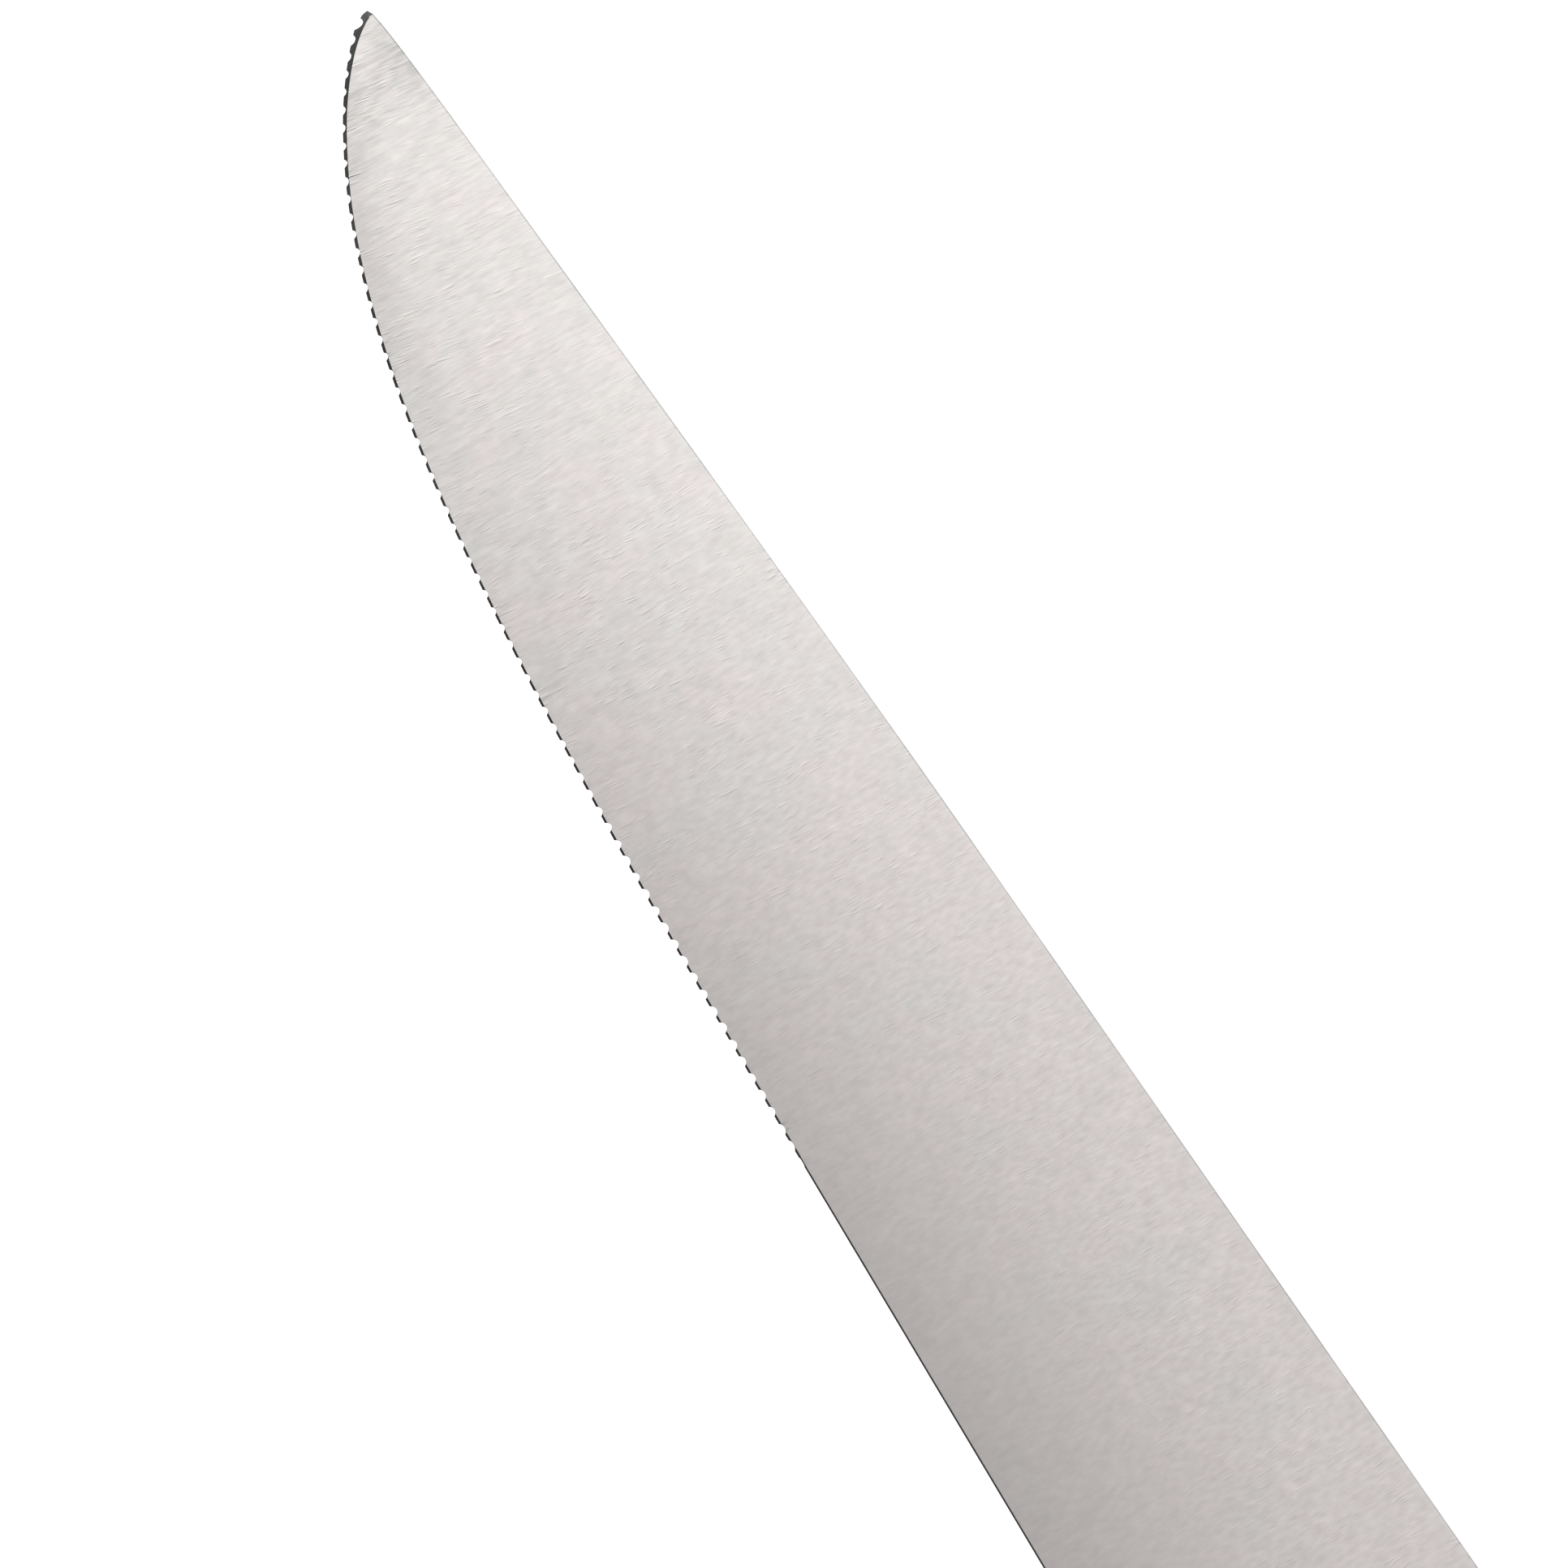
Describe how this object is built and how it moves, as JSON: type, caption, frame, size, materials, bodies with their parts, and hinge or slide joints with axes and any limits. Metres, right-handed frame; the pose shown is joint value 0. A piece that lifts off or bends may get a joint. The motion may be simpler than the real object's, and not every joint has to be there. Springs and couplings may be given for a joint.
{
  "type": "snack knife",
  "caption": "Table knife with a thin ground steel blade, finely toothed towards the tip and plain at the heel, and a wooden handle riveted to its flat tang.",
  "frame": {"origin": "below the middle of the knife, level with the flat side of the back scale that it lies on", "axes": "+X towards the tip, +Y towards the cutting edge, +Z out of the blade's front face"},
  "size_m": [0.2282, 0.021, 0.013],
  "materials": {
    "blade_steel": "fine cross-ground satin, grinding lines square to the edge",
    "handle_wood": "oiled fruit wood, satin, grain along the handle",
    "rivet_aluminium": "sanded flush with the scales"
  },
  "bodies": {
    "root": {"blade": "blade_steel", "scale_front": "handle_wood", "scale_back": "handle_wood", "rivet_front_post": "rivet_aluminium", "rivet_front_socket": "rivet_aluminium", "rivet_middle_post": "rivet_aluminium", "rivet_middle_socket": "rivet_aluminium", "rivet_rear_post": "rivet_aluminium", "rivet_rear_socket": "rivet_aluminium"}
  },
  "joints": []
}
